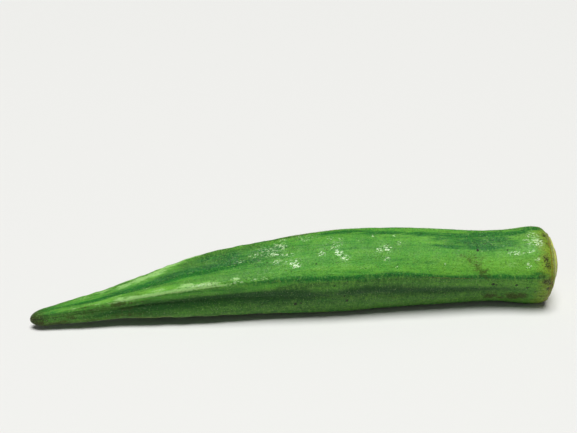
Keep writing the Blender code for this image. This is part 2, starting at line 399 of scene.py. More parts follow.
# Dirt and dead skin in the beak's end and by the scar ring
GRIME = (
    (1.0, 4.75, 1.6, 1.3, 1.0), (3.2, 4.6, 2.2, 1.0, 0.9), (6.5, 4.45, 3.2, 0.8, 0.6),
    (1.8, 2.4, 1.6, 1.6, 0.8), (3.6, 3.3, 2.4, 0.9, 0.7), (131.9, 0.32, 1.0, 1.0, 0.95),
    (132.3, 0.2, 1.1, 1.2, 1.0), (130.8, 0.03, 1.9, 0.7, 0.65), (132.0, 4.9, 1.5, 1.1, 1.1),
    (133.1, 4.84, 0.8, 0.7, 1.2), (132.9, 4.68, 0.9, 0.7, 1.2), (131.2, 0.64, 0.8, 0.9, 0.7),
    (132.4, 0.8, 0.9, 0.9, 0.9), (132.6, 0.62, 0.6, 0.5, 0.8), (132.1, 4.42, 1.2, 1.0, 0.7),
    (130.8, 4.78, 1.4, 0.6, 0.5), (132.3, 1.5, 1.1, 1.5, 0.8), (132.3, 1.02, 0.7, 0.6, 0.6),
    (132.4, 2.3, 1.0, 1.2, 0.8), (132.4, 3.2, 1.1, 1.6, 0.9), (132.0, 3.8, 1.0, 0.8, 0.8),
)
# Where the wax is thick enough to glisten in flecks, painted as pale glints
GLINT_FLECKS = (
    (61.0, 0.66, 6.0, 2.4, 0.42), (77.5, 0.6, 3.2, 2.2, 0.36), (129.0, 0.66, 2.6, 2.4, 0.4),
    (90.5, 0.45, 2.4, 1.8, 0.34), (71.0, 0.86, 5.0, 1.4, 0.34), (117.0, 0.72, 5.0, 1.8, 0.24),
    (53.7, 0.5, 1.6, 0.7, 0.5), (57.7, 0.6, 2.0, 0.6, 0.7), (60.5, 0.7, 2.2, 0.7, 0.8),
    (63.4, 0.78, 1.5, 0.8, 0.8), (64.8, 0.73, 1.1, 1.0, 1.5), (65.3, 0.9, 1.1, 0.5, 0.8),
    (62.4, 0.55, 2.2, 0.5, 0.9), (65.8, 0.49, 1.8, 0.5, 0.9), (67.0, 0.24, 1.5, 0.7, 1.1),
    (66.6, 0.32, 2.6, 1.0, 0.5), (63.0, 0.36, 3.0, 1.2, 0.4), (58.5, 0.42, 2.6, 0.8, 0.4),
    (52.0, 4.98, 2.6, 0.5, 0.6), (57.5, 0.02, 3.2, 0.6, 0.5), (71.0, 0.8, 1.6, 0.5, 0.6),
    (69.8, 0.95, 1.8, 0.4, 0.6), (74.2, 0.42, 0.9, 0.8, 0.9), (78.4, 0.43, 1.0, 0.9, 1.25),
    (77.4, 0.58, 1.2, 1.3, 0.7), (79.9, 0.31, 1.2, 0.7, 0.9), (76.9, 0.76, 1.2, 0.9, 0.55),
    (79.5, 0.72, 0.8, 0.9, 0.55), (91.0, 0.49, 1.2, 1.0, 0.95), (88.8, 0.45, 0.9, 0.8, 0.75),
    (90.5, 0.28, 1.3, 0.8, 0.6), (93.4, 0.77, 0.4, 0.4, 1.1), (87.8, 0.77, 0.4, 0.4, 1.0),
    (94.3, 0.6, 0.5, 0.5, 0.9), (93.0, 0.12, 0.5, 0.4, 0.8), (84.0, 0.12, 2.0, 0.5, 0.4),
    (124.4, 0.43, 2.0, 0.45, 1.1), (128.3, 0.44, 1.6, 0.4, 0.7), (129.2, 0.76, 1.8, 1.5, 0.75),
    (130.4, 0.62, 1.5, 1.3, 0.85), (127.3, 0.66, 1.4, 1.0, 0.5), (127.2, 0.2, 0.9, 0.9, 0.8),
    (129.6, 0.3, 1.2, 0.8, 0.5), (123.0, 0.22, 2.0, 1.0, 0.35), (105.4, 0.2, 0.4, 0.4, 0.65),
    (43.6, 4.99, 4.2, 0.4, 0.75), (38.0, 2.02, 7.0, 0.45, 0.7), (55.0, 1.45, 5.0, 1.4, 0.7),
    (86.0, 1.55, 2.4, 1.4, 0.8), (118.0, 1.3, 3.0, 1.2, 0.6), (70.0, 2.3, 2.6, 1.3, 0.6),
    (105.0, 2.6, 2.6, 1.2, 0.6), (45.0, 2.95, 5.0, 0.5, 0.7),
)
# A painted highlight where the wax lies smooth: along the ridges' crests near the beak, how strong by
# distance, how broad, and each ridge's part of that, and streaks elsewhere. The wax there also shines
CREST_HIGHLIGHT = (
    (0.0, 0.0), (7.0, 0.0), (10.0, 0.22), (14.0, 0.32), (20.0, 0.42), (25.0, 0.9), (34.0, 1.0), (44.0, 1.0),
    (49.0, 0.5), (54.0, 0.25), (60.0, 0.0),
)
CREST_HIGHLIGHT_WIDTH = 0.46
CREST_HIGHLIGHT_SHARE = (1.0, 0.45, 0.6, 0.6, 0.3)
HIGHLIGHT_STREAKS = (
    (13.6, 0.76, 3.0, 0.6, 0.42), (19.6, 0.82, 3.0, 0.8, 0.5), (24.6, 0.74, 3.0, 0.9, 0.66),
    (29.0, 0.8, 3.0, 0.95, 0.85), (33.0, 0.84, 3.0, 1.0, 0.85), (36.4, 0.93, 3.4, 0.7, 0.85),
    (41.5, 0.97, 3.4, 0.5, 0.7), (22.0, 0.16, 3.0, 0.35, 0.45), (30.0, 0.22, 4.0, 0.4, 0.4),
    (22.8, 4.98, 1.7, 0.55, 0.85), (26.2, 4.97, 2.2, 0.45, 0.85), (33.0, 0.03, 3.0, 0.4, 0.5),
    (40.0, 0.03, 2.6, 0.55, 0.9), (45.0, 0.0, 3.2, 0.5, 1.1), (52.0, 0.05, 1.4, 0.45, 0.7),
    (99.0, 0.99, 12.0, 0.22, 0.45), (80.0, 1.0, 9.0, 0.22, 0.45), (38.0, 1.35, 5.0, 0.5, 0.6),
    (32.0, 2.7, 4.0, 0.4, 0.5), (41.0, 3.3, 5.0, 0.5, 0.5),
)


def marks_at(marks, distance, turn, girth_mm):
    """The strongest of some marks at a place: its full strength in its middle, and 0 past its edge."""
    found = 0.0
    for at, round_at, half_length, half_width, strength in marks:
        if abs(distance - at) > MARK_REACH * half_length:
            continue
        round_by = (turn - round_at + RIDGES / 2) % RIDGES - RIDGES / 2
        across = round_by * math.tau / RIDGES * girth_mm / half_width
        found = max(found, strength * math.exp(-(((distance - at) / half_length) ** 2) - across**2))
    return found


# The blue-green lines: how strong and how broad the one on each rib and the one in each suture are, by
# distance, and how much of it each rib has, from the front ridge and on round
RIB_DARK = (
    (0.0, 0.0), (42.0, 0.0), (54.0, 0.45), (66.0, 0.8), (80.0, 0.92), (120.0, 0.95), (129.0, 0.75),
    (132.0, 0.3),
)
RIB_DARK_WIDTH = ((0.0, 0.7), (56.0, 0.9), (68.0, 1.0), (80.0, 0.85), (90.0, 0.68), (134.0, 0.70))
RIB_SHARE = (1.0, 0.5, 0.8, 0.65, 0.8)
SUTURE_DARK = (
    (0.0, 0.2), (9.0, 0.6), (16.0, 0.95), (26.0, 1.18), (46.0, 1.18), (56.0, 0.65), (70.0, 0.35),
    (134.0, 0.25),
)
SUTURE_DARK_WIDTH = (
    (0.0, 0.3), (10.0, 0.5), (16.0, 0.75), (24.0, 1.15), (31.0, 1.5), (40.0, 1.8), (50.0, 1.8), (62.0, 1.3),
    (134.0, 0.9),
)
# Painted shade by the groove in the lower faces: how strong and broad, how much further it reaches on
# its lower side, and how far off the middle of the face it is as a share of half of it, by distance, and
# its strength in each face
SHADE_DARK = (
    (0.0, 0.0), (12.0, 0.4), (24.0, 0.9), (46.0, 1.05), (67.0, 1.0), (75.5, 0.62), (83.0, 0.92),
    (108.0, 0.92), (122.0, 0.55), (132.0, 0.2),
)
SHADE_WIDTH = (
    (0.0, 0.4), (20.0, 0.7), (30.0, 1.0), (40.0, 1.2), (50.0, 1.4), (64.0, 1.8), (79.0, 1.5), (94.0, 1.6),
    (134.0, 1.1),
)
SHADE_TAIL = (
    (0.0, 2.0), (12.0, 3.6), (28.0, 3.6), (38.0, 3.0), (50.0, 2.5), (64.0, 2.1), (76.0, 1.7), (90.0, 1.4),
    (134.0, 1.2),
)
SHADE_LEAN = (
    (0.0, 0.25), (20.0, 0.28), (30.0, 0.02), (40.0, -0.12), (50.0, -0.17), (58.0, -0.2), (66.0, -0.28),
    (73.0, -0.14), (84.0, -0.31), (94.0, -0.27), (104.0, -0.1), (115.0, -0.2), (134.0, -0.28),
)
SHADED = (0.0, 0.0, 0.5, 0.75, 1.0)
# How strong the yellow-green is, on the flanks of the ribs near the beak and all round near the stalk, and
# each face's part of what the flanks have
FLANK_LIGHT = (
    (0.0, 0.0), (6.0, 0.05), (9.5, 0.32), (18.0, 0.75), (32.0, 0.85), (42.0, 0.5), (60.0, 0.2), (80.0, 0.1),
    (134.0, 0.1),
)
FLANKED = (1.0, 0.9, 0.6, 0.5, 0.2)
STALK_LIGHT = ((0.0, 0.0), (60.0, 0.05), (95.0, 0.30), (110.0, 0.65), (124.0, 0.80), (134.0, 1.0))
# Where each of the two is and how broad, as a share of the way into the valley, how much of it an olive
# face loses, how much of its suture's line a shaded face loses, and how broad the wear on a crest is in mm
FLANK_BAND = (0.12, 0.32)
STALK_BAND = (0.45, 0.5)
FLANK_DULLED = 0.75
STALK_DULLED = 0.6
LINE_SHADED = 0.8
CREST_WIDTH = 0.8
# How olive each face is: the back and lower sides are duller, partly their own colour and partly painted
# shade. How much of that there is, by distance, and the share of the way into the valley where it is full
FACE_OLIVE = (0.0, 0.1, 0.45, 0.8, 0.9)
OLIVE_ALONG = ((0.0, 0.8), (20.0, 1.0), (118.0, 1.0), (127.0, 0.75), (133.0, 0.45))
OLIVE_FROM = (
    (0.0, 0.2), (12.0, 0.4), (26.0, 0.66), (46.0, 0.68), (60.0, 0.5), (68.0, 0.2), (134.0, 0.13),
)
# Where the upper face is olive too: along the beak, on the shoulder as painted shadow, and at the neck
DULL_AND_SHADOW = (
    (10.0, 0.85, 5.0, 1.2, 0.45), (22.0, 0.9, 8.0, 1.2, 0.55), (34.0, 0.92, 7.0, 1.2, 0.35),
    (42.0, 0.8, 3.5, 1.6, 0.7), (46.0, 0.88, 5.0, 2.0, 0.8), (51.0, 0.8, 4.5, 3.2, 0.95),
    (52.5, 0.45, 5.0, 1.5, 0.4), (57.0, 0.92, 6.0, 2.0, 0.65), (66.0, 0.98, 8.0, 1.0, 0.6),
    (118.0, 0.74, 7.0, 2.2, 0.42), (127.5, 0.84, 4.0, 2.0, 0.5),
)
# Where an olive face is greener, between its rib and its shaded groove
GREENER = (
    (114.0, 4.8, 15.0, 1.3, 0.45), (97.0, 4.83, 8.0, 0.8, 0.25), (77.0, 4.74, 5.0, 1.2, 0.4),
    (88.0, 4.2, 9.0, 1.2, 0.2), (100.0, 3.2, 16.0, 1.4, 0.35),
)
# The darker streaked patches: the band below the top ridge, the shoulder and the neck, and elsewhere, as
# distance, turn, half length, half width and strength. Those on the shoulder are painted shadow
PATCHES_AND_SHADOW = (
    (70.0, 0.97, 7.0, 0.6, 0.6), (81.0, 0.91, 8.0, 0.8, 0.9), (91.0, 0.85, 8.0, 0.9, 0.8),
    (101.0, 0.83, 8.0, 0.9, 0.85), (110.5, 0.83, 7.0, 1.0, 1.0), (118.0, 0.89, 6.0, 1.1, 1.1),
    (125.0, 0.89, 4.5, 0.9, 1.0), (129.6, 0.97, 3.2, 1.2, 0.95), (107.0, 0.56, 5.5, 0.6, 0.95),
    (116.5, 0.57, 6.0, 0.8, 1.0), (113.0, 0.7, 9.0, 1.8, 0.8), (120.0, 0.76, 4.5, 1.6, 0.8),
    (123.0, 0.66, 3.5, 1.6, 0.6), (88.0, 0.8, 10.0, 0.8, 0.4), (75.0, 0.6, 5.0, 0.6, 0.5),
    (70.0, 0.66, 5.0, 0.7, 0.6), (61.0, 0.66, 8.0, 2.6, 0.62), (52.0, 0.66, 6.0, 2.8, 0.72),
    (46.5, 0.78, 4.5, 1.6, 0.6), (58.0, 0.32, 8.0, 1.4, 0.5), (44.0, 4.86, 18.0, 1.1, 0.36),
    (66.0, 4.96, 9.0, 0.7, 0.7), (5.0, 0.5, 4.5, 1.6, 0.62), (5.5, 4.98, 3.2, 0.8, 0.6),
    (10.0, 0.2, 4.0, 0.6, 0.45), (9.0, 4.85, 5.0, 0.7, 0.45), (74.0, 4.42, 7.0, 1.0, 0.45),
    (60.0, 4.4, 6.0, 1.2, 0.45), (84.5, 4.88, 3.0, 0.6, 0.5), (86.0, 0.3, 10.0, 0.8, 0.35),
    (113.0, 1.72, 11.0, 2.2, 0.7), (80.0, 1.35, 16.0, 1.3, 0.55), (60.0, 1.6, 14.0, 1.3, 0.6),
    (98.0, 1.02, 30.0, 0.5, 0.6), (70.0, 2.62, 18.0, 1.6, 0.55), (108.0, 2.3, 12.0, 2.2, 0.6),
    (95.0, 3.4, 16.0, 1.8, 0.5), (129.8, 0.02, 2.6, 1.0, 0.85), (105.5, 0.74, 6.0, 1.5, 0.58),
)


def tints(distance, turn, into_valley, radius):
    """The painted amounts at a place on the skin: 0 is none, and 1 or more is all of it."""
    ridge, face, side = around(turn)
    from_rib, from_suture, half_face = offsets(distance, turn, into_valley, radius)
    other = (face - side) % RIDGES
    girth_mm = max(radius, LEAST_RADIUS)

    def marked(marks):
        return marks_at(marks, distance, turn, girth_mm)

    # Olive of the back and lower faces, partly painted shade, and painted shadow on the shoulder
    own = min(max(2 * side * from_rib / half_face / along(OLIVE_FROM, distance) - 1, 0.0), 1.0)
    olive = FACE_OLIVE[face] * own + min(FACE_OLIVE[face], FACE_OLIVE[other]) * (1 - own)
    olive = max(olive * along(OLIVE_ALONG, distance) * (1 - marked(GREENER)), marked(DULL_AND_SHADOW))
    shaded = SHADED[face] * own + min(SHADED[face], SHADED[other]) * (1 - own)
    # Painted shade in the lower faces, reaching further on the lower side
    from_shade = from_suture - along(SHADE_LEAN, distance) * half_face
    shade_width = along(SHADE_WIDTH, distance) * (along(SHADE_TAIL, distance) if from_shade > 0 else 1)
    flank = FLANKED[face] * along(FLANK_LIGHT, distance) * bell(into_valley - FLANK_BAND[0], FLANK_BAND[1])
    flank *= 1 - FLANK_DULLED * olive
    stalk = along(STALK_LIGHT, distance) * bell(into_valley - STALK_BAND[0], STALK_BAND[1])
    stalk *= 1 - STALK_DULLED * olive
    rib_line = RIB_SHARE[ridge] * along(RIB_DARK, distance) * bell(from_rib, along(RIB_DARK_WIDTH, distance))
    suture_line = along(SUTURE_DARK, distance) * bell(from_suture, along(SUTURE_DARK_WIDTH, distance))
    # Painted highlight along the crests
    crest_highlight = CREST_HIGHLIGHT_SHARE[ridge] * along(CREST_HIGHLIGHT, distance) * bell(from_rib, CREST_HIGHLIGHT_WIDTH)
    return {
        "teal": max(rib_line, suture_line * (1 - LINE_SHADED * shaded), marked(PATCHES_AND_SHADOW)),
        "shade": shaded * along(SHADE_DARK, distance) * bell(from_shade, shade_width),
        "crest": bell(from_rib, CREST_WIDTH),
        "light": min(flank + stalk, 1.0),
        "olive": olive,
        "bruise_and_shade": marked(BRUISES_AND_SHADE),
        "grime": marked(GRIME),
        "dot": marked([(at, turned, size, size, strength) for at, turned, size, strength in DOTS]),
        "glint_fleck": marked(GLINT_FLECKS),
        "glaze_highlight": max(crest_highlight, marked(HIGHLIGHT_STREAKS)),
    }


TINTS = ("teal", "shade", "crest", "light", "olive", "bruise_and_shade", "grime", "dot", "glint_fleck", "glaze_highlight")

# How far the skin stays above the surface it lies on, and how near two points are to become one, in mm
CLEARANCE = 0.02
MERGED = 0.0005
# The order of the skin's materials
GREEN_PART, RECEPTACLE_PART, CUT_PART = 0, 1, 2


def add_piece(name, bm):
    """An object of this finished mesh, in the scene."""
    mesh = bpy.data.meshes.new(name)
    bm.to_mesh(mesh)
    bm.free()
    piece = bpy.data.objects.new(name, mesh)
    bpy.context.scene.collection.objects.link(piece)
    return piece


def shape_skin():
    """A flat grid, with a column for each ring and a row for each step, rolled up and set on the pod."""
    rings = skin_rings()
    steps = RIDGES * STEPS_PER_RIDGE
    bm = bmesh.new()
    bmesh.ops.create_grid(bm, x_segments=len(rings) - 1, y_segments=steps, size=1.0)
    layers = {name: bm.verts.layers.float.new(name) for name in TINTS}
    reach, radial = bm.verts.layers.float.new("reach"), bm.verts.layers.float.new("radial")
    grown = bm.verts.layers.float_vector.new("grown")
    for v in bm.verts:
        k = round((v.co.x + 1) / 2 * (len(rings) - 1))
        step = round((v.co.y + 1) / 2 * steps) % steps
        turn = turn_of(step)
        place, into_valley = skin_point(rings[k], turn)
        place = (place - MIDDLE) * MM
        place.z = max(place.z, CLEARANCE * MM)
        v.co = place
        distance, radius, _ = rings[k]
        v[reach], v[radial] = distance, radius
        v[grown] = straightened(distance, turn)
        for name, value in tints(distance, turn, into_valley, radius).items():
            v[layers[name]] = value
    bmesh.ops.remove_doubles(bm, verts=bm.verts, dist=MERGED * MM)
    bmesh.ops.recalc_face_normals(bm, faces=bm.faces)
    for face in bm.faces:
        past = sum(v[reach] for v in face.verts) / len(face.verts) - RING_AT
        inner = sum(v[radial] for v in face.verts) / len(face.verts)
        if past > RECEPTACLE_FROM:
            cut = past > CUT_FROM or inner < CUT_RADIUS
            face.material_index = CUT_PART if cut else RECEPTACLE_PART
        face.smooth = True
    return add_piece("okra_pod_skin", bm)


def feed(tree, node, sockets):
    """Gives each of these inputs of a node a value, or another node's output."""
    for name, value in sockets.items():
        if isinstance(value, bpy.types.NodeSocket):
            tree.links.new(value, node.inputs[name])
        else:
            node.inputs[name].default_value = value


def wire(tree, kind, sockets=None, **settings):
    """Adds a node: settings are the node's own, and sockets are fed to its inputs."""
    made = tree.nodes.new(kind)
    for name, value in settings.items():
        setattr(made, name, value)
    feed(tree, made, sockets or {})
    return made


def reckon(tree, operation, first, second=0.0, third=0.0, clamp=False):
    """One sum of a Math node."""
    sockets = {0: first, 1: second, 2: third}
    return wire(tree, "ShaderNodeMath", sockets, operation=operation, use_clamp=clamp).outputs[0]


def tint(tree, share, base, over):
    """The base colour where share is 0, and the other one over it where share is 1."""
    return wire(tree, "ShaderNodeMix", {0: share, 6: base, 7: over}, data_type="RGBA").outputs[2]


def ramp(tree, value, low, high, to_low=0.0, to_high=1.0):
    """Smoothly from to_low to to_high as the value goes from low to high."""
    sockets = {0: value, 1: low, 2: high, 3: to_low, 4: to_high}
    return wire(tree, "ShaderNodeMapRange", sockets, interpolation_type="SMOOTHSTEP").outputs[0]


def painted(tree, name):
    return wire(tree, "ShaderNodeAttribute", attribute_name=name).outputs["Fac"]


def noisy(tree, coordinates, scale, detail=2.0, roughness=0.5):
    sockets = {"Vector": coordinates, "Scale": scale, "Detail": detail, "Roughness": roughness}
    return wire(tree, "ShaderNodeTexNoise", sockets).outputs["Fac"]


def in_mm(tree):
    """The place on a piece in mm, from its Object coordinates."""
    here = wire(tree, "ShaderNodeTexCoord").outputs["Object"]
    return wire(tree, "ShaderNodeVectorMath", {0: here, 3: 1000.0}, operation="SCALE").outputs[0]


def group_of(name, inputs, outputs):
    """An empty shader node group with named inputs and outputs, and its two end nodes."""
    tree = bpy.data.node_groups.new(name, "ShaderNodeTree")
    for label, kind in inputs:
        tree.interface.new_socket(label, in_out="INPUT", socket_type=kind)
    for label, kind in outputs:
        tree.interface.new_socket(label, in_out="OUTPUT", socket_type=kind)
    return tree, tree.nodes.new("NodeGroupInput"), tree.nodes.new("NodeGroupOutput")


def plant_grain():
    """The cells under a plant's wax, shared by the skin and the receptacle: a height and a broad mottle."""
    tree, given, out = group_of(
        "plant_grain",
        [("Place", "NodeSocketVector"), ("Cell Size", "NodeSocketFloat")],
        [("Height", "NodeSocketFloat"), ("Mottle", "NodeSocketFloat")],
    )
    place = given.outputs["Place"]
    fine = reckon(tree, "DIVIDE", 1.0, given.outputs["Cell Size"])
    cells = wire(tree, "ShaderNodeTexVoronoi", {"Vector": place, "Scale": fine}).outputs["Distance"]
    dome = ramp(tree, cells, 0.0, 0.65, 1.0, 0.0)
    soft = noisy(tree, place, reckon(tree, "MULTIPLY", fine, 0.8), 3.0, 0.6)
    height = reckon(tree, "ADD", reckon(tree, "MULTIPLY", dome, 0.6), reckon(tree, "MULTIPLY", soft, 0.9))
    mottle = ramp(tree, noisy(tree, place, 0.35, 3.0, 0.6), 0.35, 0.66)
    feed(tree, out, {"Height": height, "Mottle": mottle})
    return tree


GRAIN = plant_grain()


def grain(tree, place, cell_mm):
    """The plant grain group in a material, with its cell size in mm."""
    return wire(tree, "ShaderNodeGroup", {"Place": place, "Cell Size": cell_mm}, node_tree=GRAIN).outputs


def new_material(name):
    """A material with a Principled shader and nothing else wired."""
    material = bpy.data.materials.new(name)
    material.use_nodes = True
    return material, material.node_tree, material.node_tree.nodes["Principled BSDF"]


def raised(tree, height, distance_mm, under=None):
    """A bump of this height in mm, on another normal where one is given."""
    sockets = {"Height": height, "Distance": distance_mm * MM, "Strength": 1.0}
    if under is not None:
        sockets["Normal"] = under
    return wire(tree, "ShaderNodeBump", sockets).outputs["Normal"]


# The skin's colours, from its greens to dead skin, rust and wax
GREEN = (0.074, 0.306, 0.031, 1.0)
TEAL = (0.008, 0.138, 0.016, 1.0)
PALE_GREEN = (0.160, 0.420, 0.036, 1.0)
OLIVE = (0.056, 0.158, 0.022, 1.0)
DARK_OLIVE = (0.006, 0.058, 0.005, 1.0)
RIM_YELLOW = (0.210, 0.310, 0.024, 1.0)
BROWN = (0.040, 0.034, 0.007, 1.0)
BRUISE_AND_SHADE_DARK = (0.034, 0.042, 0.005, 1.0)
GRIME_DARK = (0.020, 0.020, 0.005, 1.0)
RUST = (0.200, 0.120, 0.018, 1.0)
TAN = (0.230, 0.225, 0.075, 1.0)
DOT_BLACK = (0.008, 0.012, 0.004, 1.0)
TOOTH_PALE = (0.220, 0.440, 0.070, 1.0)
HIGHLIGHT_PALE = (0.340, 0.620, 0.190, 1.0)
GLINT_WHITE = (0.560, 0.780, 0.420, 1.0)
# The skin's cells across, and where its pale edge cracks before the scar ring, in mm
SKIN_CELL = 0.42
CRACK_AT = 133.30


def stretched(tree, coordinates, scale):
    """Coordinates scaled by a different amount along each axis."""
    return wire(tree, "ShaderNodeMapping", {"Vector": coordinates, "Scale": scale}).outputs[0]


def skin_material():
    """Okra skin: green over fine cells, blue-green on the ribs, rust where it was rubbed, flecks of wax.
    Shade and highlights are painted too: on the lower faces, the shoulder, the crests and the flecks.
    """
    material, tree, shader = new_material("okra_skin")
    place = in_mm(tree)
    grown = wire(tree, "ShaderNodeAttribute", attribute_name="grown").outputs["Vector"]
    cells = grain(tree, place, SKIN_CELL)
    streaks = noisy(tree, stretched(tree, grown, (0.07, 1.0, 1.0)), 0.9, 4.0, 0.65)
    threads = noisy(tree, stretched(tree, grown, (0.13, 1.0, 1.0)), 2.4, 2.0, 0.6)
    rungs = noisy(tree, stretched(tree, grown, (1.0, 0.30, 0.30)), 2.2, 1.0, 0.5)
    stipple = noisy(tree, place, 1.9, 2.0, 0.75)
    specks = noisy(tree, place, 3.1, 2.0, 0.6)
    dashes = noisy(tree, stretched(tree, grown, (0.60, 1.1, 1.1)), 2.6, 2.0, 0.7)
    clouds = noisy(tree, stretched(tree, grown, (0.22, 1.0, 1.0)), 0.55, 3.0, 0.6)
    frayed = reckon(tree, "SUBTRACT", noisy(tree, place, 0.75, 4.0, 0.7), 0.5)
    scuffed = reckon(tree, "SUBTRACT", noisy(tree, place, 1.3, 3.0, 0.68), 0.5)
    threaded = reckon(tree, "SUBTRACT", reckon(tree, "MULTIPLY_ADD", stipple, 0.6, threads), 0.8)

    def share_of(amount, share):
        return reckon(tree, "MULTIPLY", amount, share)

    def ragged(name, low, high, fray=0.9, by=None):
        """A painted amount with its edge broken up by noise."""
        broken = reckon(tree, "MULTIPLY_ADD", by or frayed, fray, painted(tree, name))
        return ramp(tree, broken, low, high)

    def reached(low, high, to_low, to_high, fray):
        """A mask that changes along the pod, at a ragged distance in mm from the beak's end."""
        broken = reckon(tree, "MULTIPLY_ADD", frayed, fray, painted(tree, "reach"))
        return ramp(tree, broken, low, high, to_low, to_high)

    # Each coat lies over those before it. First the greens, the olive that is partly painted shade, the
    # yellower rim, the blue-green lines with painted shadow on the shoulder, and the painted shade by the
    # grooves
    olive = painted(tree, "olive")
    coats = [
        (share_of(cells["Mottle"], 0.30), PALE_GREEN),
        (ramp(tree, streaks, 0.50, 0.72, 0.0, 0.55), PALE_GREEN),
        (ramp(tree, streaks, 0.28, 0.47, 0.60, 0.0), TEAL),
        # The olive, partly painted shade
        (share_of(olive, 0.88), OLIVE),
        (share_of(ragged("light", 0.10, 1.05), 0.75), PALE_GREEN),
        (reached(128.4, 132.6, 0.0, 0.92, 4.5), RIM_YELLOW),
        # Blue-green lines and patches, the patches on the shoulder being painted shadow
        (share_of(ragged("teal", 0.20, 0.72, 1.2, threaded), 0.92), TEAL),
        # Painted shade by the lower faces' grooves
        (share_of(ragged("shade", 0.12, 0.88, 0.6, threaded), 0.92), DARK_OLIVE),
    ]

    # Clouding, fine combing across the pod, pale tooth and rust on the crests. Most of it is past the beak
    grown_up = ramp(tree, painted(tree, "reach"), 14.0, 60.0, 0.12, 1.0)
    sunlit = reckon(tree, "MULTIPLY_ADD", painted(tree, "shade"), -0.80, 1.0)
    crest = painted(tree, "crest")
    cloudy = share_of(ramp(tree, clouds, 0.40, 0.56, 1.0, 0.0), reached(30.0, 70.0, 0.42, 0.12, 4.0))
    combed = share_of(olive, grown_up)
    teeth = share_of(share_of(ramp(tree, rungs, 0.54, 0.68, 0.0, 0.24), sunlit), combed)
    coats += [
        (cloudy, DARK_OLIVE),
        (share_of(ramp(tree, rungs, 0.34, 0.48, 0.34, 0.0), combed), DARK_OLIVE),
        (teeth, TOOTH_PALE),
        (share_of(ramp(tree, rungs, 0.52, 0.66), ramp(tree, crest, 0.15, 0.7, 0.0, 0.24)), TOOTH_PALE),
        (share_of(ramp(tree, streaks, 0.54, 0.64), ramp(tree, crest, 0.6, 0.95, 0.0, 0.35)), RUST),
    ]

    # Painted highlights of the smooth wax, dark and pale stippling, bruises and the painted shade of the
    # beak's underside, and the browned end of the beak
    glint_fleck = painted(tree, "glint_fleck")
    glaze_and_highlight = share_of(ragged("glaze_highlight", 0.24, 0.72, 1.5, threaded), 0.85)
    peppered = reckon(tree, "MULTIPLY_ADD", olive, 0.32, 0.32)
    peppered = share_of(reckon(tree, "MULTIPLY_ADD", painted(tree, "teal"), 0.40, peppered), grown_up)
    peppered = reckon(tree, "MULTIPLY_ADD", glint_fleck, 0.45, peppered, clamp=True)
    bruise_and_shade = ragged("bruise_and_shade", 0.20, 0.95, 1.6, scuffed)
    coats += [
        # Painted highlight of the smooth wax on the crests, where the coat also shines
        (glaze_and_highlight, HIGHLIGHT_PALE),
        (share_of(ramp(tree, stipple, 0.36, 0.49, 1.0, 0.0), peppered), DARK_OLIVE),
        (share_of(ramp(tree, stipple, 0.54, 0.70, 0.0, 0.38), sunlit), PALE_GREEN),
        # Bruises, and painted shade on the beak's underside
        (share_of(bruise_and_shade, 0.82), BRUISE_AND_SHADE_DARK),
        (reached(0.3, 6.0, 0.72, 0.0, 3.0), BROWN),
    ]

    # Stains, scurf and freckles by the ring, dots, the cracked edge, and the tan of both ends
    speckled = reckon(tree, "MULTIPLY_ADD", reckon(tree, "SUBTRACT", specks, 0.5), 3.4, frayed)
    scurf = reckon(tree, "MULTIPLY_ADD", painted(tree, "grime"), 0.8, speckled)
    crack = reckon(tree, "MULTIPLY_ADD", frayed, 0.9, painted(tree, "reach"))
    crack = reckon(tree, "ABSOLUTE", reckon(tree, "SUBTRACT", crack, CRACK_AT))
    coats += [
        (share_of(ragged("grime", 0.15, 1.05, 1.4, scuffed), reached(124.0, 129.0, 0.0, 0.62, 2.0)), BROWN),
        (ramp(tree, scurf, 0.50, 0.92, 0.0, 0.9), GRIME_DARK),
        (share_of(ramp(tree, specks, 0.58, 0.68), reached(127.5, 132.0, 0.0, 0.7, 4.0)), BROWN),
        (ramp(tree, painted(tree, "dot"), 0.22, 0.50, 0.0, 0.95), DOT_BLACK),
        (ramp(tree, crack, 0.06, 0.26, 0.72, 0.0), RUST),
        (reached(133.55, 133.85, 0.0, 0.75, 0.6), TAN),
        (reached(0.10, 0.35, 0.8, 0.0, 0.2), TAN),
    ]

    # Flecks of thick wax, painted as pale glints, which also shine
    flake = reckon(tree, "MULTIPLY_ADD", glint_fleck, 0.075, dashes)
    wax = share_of(ramp(tree, glint_fleck, 0.10, 0.60), ramp(tree, flake, 0.560, 0.640))
    coats.append((share_of(wax, 0.71), GLINT_WHITE))

    colour = GREEN
    for share, over in coats:
        colour = tint(tree, share, colour, over)
    shiny = reckon(tree, "MULTIPLY_ADD", glaze_and_highlight, 0.35, share_of(wax, 0.6), clamp=True)
    rough = reckon(tree, "SUBTRACT", ramp(tree, cells["Mottle"], 0.0, 1.0, 0.56, 0.44), share_of(shiny, 0.2))
    lines = raised(tree, threads, 0.07, raised(tree, streaks, 0.22))
    finish = {
        "Base Color": colour,
        "Roughness": reckon(tree, "MULTIPLY_ADD", bruise_and_shade, 0.15, rough),
        "Coat Weight": share_of(shiny, 0.8),
        "Coat Roughness": 0.18,
        "Specular IOR Level": 0.20,
        "Sheen Weight": 0.02,
        "Sheen Roughness": 0.4,
        "Subsurface Weight": 0.05,
        "Subsurface Scale": 0.0010,
        "Normal": raised(tree, cells["Height"], 0.11, lines),
    }
    feed(tree, shader, finish)
    return material


# The receptacle's colours, among them the painted shade of the groove round the stub, its cells across,
# and the radius of that groove, in mm
RECEPTACLE_GREEN = (0.30, 0.42, 0.055, 1.0)
RECEPTACLE_PALE = (0.46, 0.50, 0.085, 1.0)
SCAR_RUST = (0.20, 0.115, 0.035, 1.0)
GROOVE_SHADE = (0.14, 0.15, 0.030, 1.0)
SPOT_BROWN = (0.05, 0.035, 0.014, 1.0)
RECEPTACLE_CELL = 0.5
GROOVE_AT = 6.0


